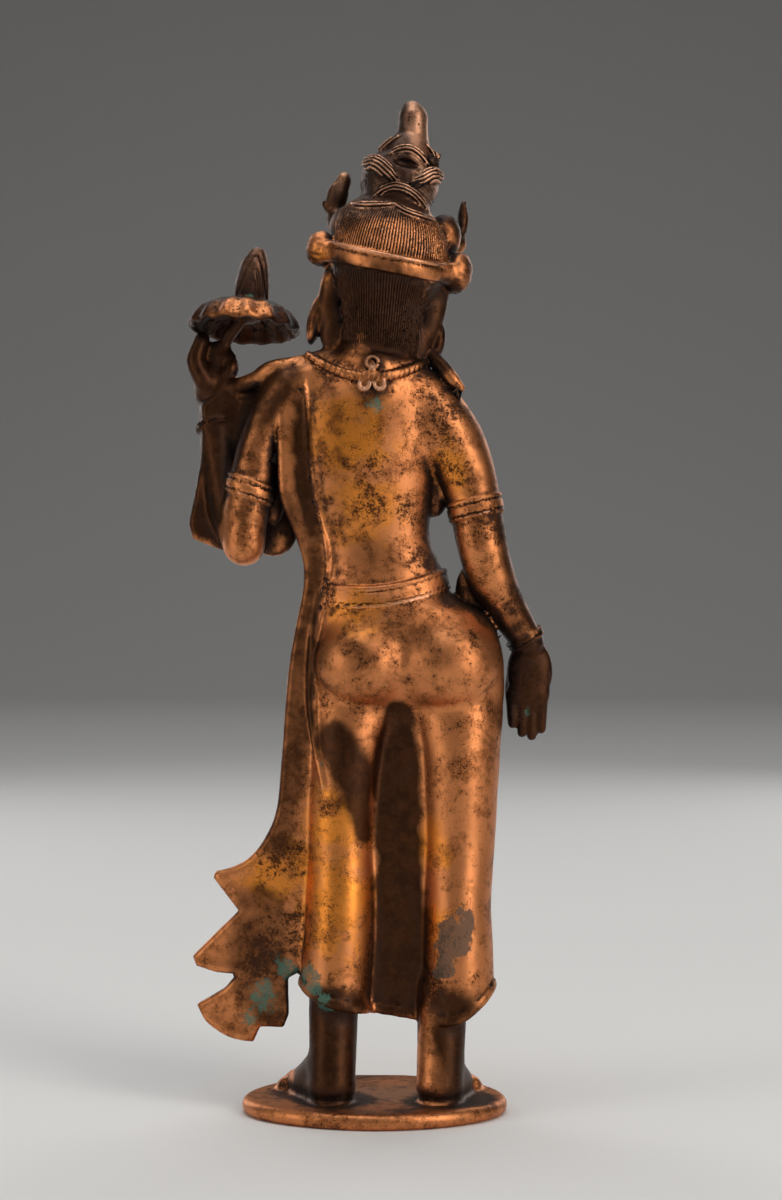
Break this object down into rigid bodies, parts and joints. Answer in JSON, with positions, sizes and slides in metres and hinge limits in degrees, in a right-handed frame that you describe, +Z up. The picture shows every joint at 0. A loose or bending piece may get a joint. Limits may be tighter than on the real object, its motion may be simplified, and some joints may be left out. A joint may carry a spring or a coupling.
{
  "type": "tara figure",
  "caption": "Standing copper-alloy female deity in a wrapped skirt and long shawl, one arm lowered and one raised to a lotus, cast in one piece with a small oval plate.",
  "frame": {"origin": "on the ground, at the middle of the oval plate's flat underside", "axes": "+Z up; the figure faces -Y, its left hand with the lotus is on the +X side, and its back is on the +Y side"},
  "size_m": [0.0952, 0.0541, 0.2599],
  "materials": {
    "cast_copper": "worn, hand-polished copper alloy: golden orange on the high places, dark brown in the recesses, with green corrosion spots and small casting pits"
  },
  "bodies": {
    "root": {"tara_figure": "cast_copper"}
  },
  "joints": []
}
